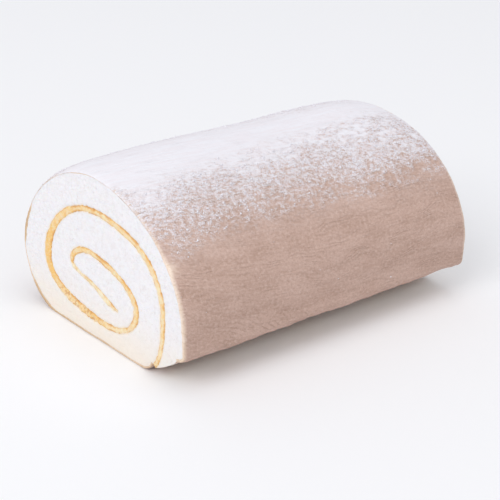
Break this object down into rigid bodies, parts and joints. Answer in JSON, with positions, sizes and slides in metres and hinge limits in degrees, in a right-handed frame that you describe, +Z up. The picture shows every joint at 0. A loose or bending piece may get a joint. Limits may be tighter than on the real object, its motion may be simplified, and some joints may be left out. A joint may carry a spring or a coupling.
{
  "type": "swiss roll cake",
  "caption": "Whole swiss roll: sponge sheet spread with custard and rolled into a flattened spiral, cut square at both ends, its thin browned crust dusted with powdered sugar.",
  "frame": {"origin": "middle of the footprint, on the surface the cake rests on", "axes": "+X along the roll, from the cut end that the picture shows to the hidden one; +Z up from the flat base; the sheet's outer end and the seam are low on the -Y side"},
  "size_m": [0.162, 0.1272, 0.0802],
  "materials": {
    "sponge": "fine open crumb, matt",
    "custard": "smooth set custard, moist",
    "crust": "thin browned skin, matt, finely wrinkled",
    "powdered_sugar": "fine white powder with small clumps"
  },
  "bodies": {
    "root": {"sponge": "sponge", "custard": "custard"}
  },
  "joints": []
}
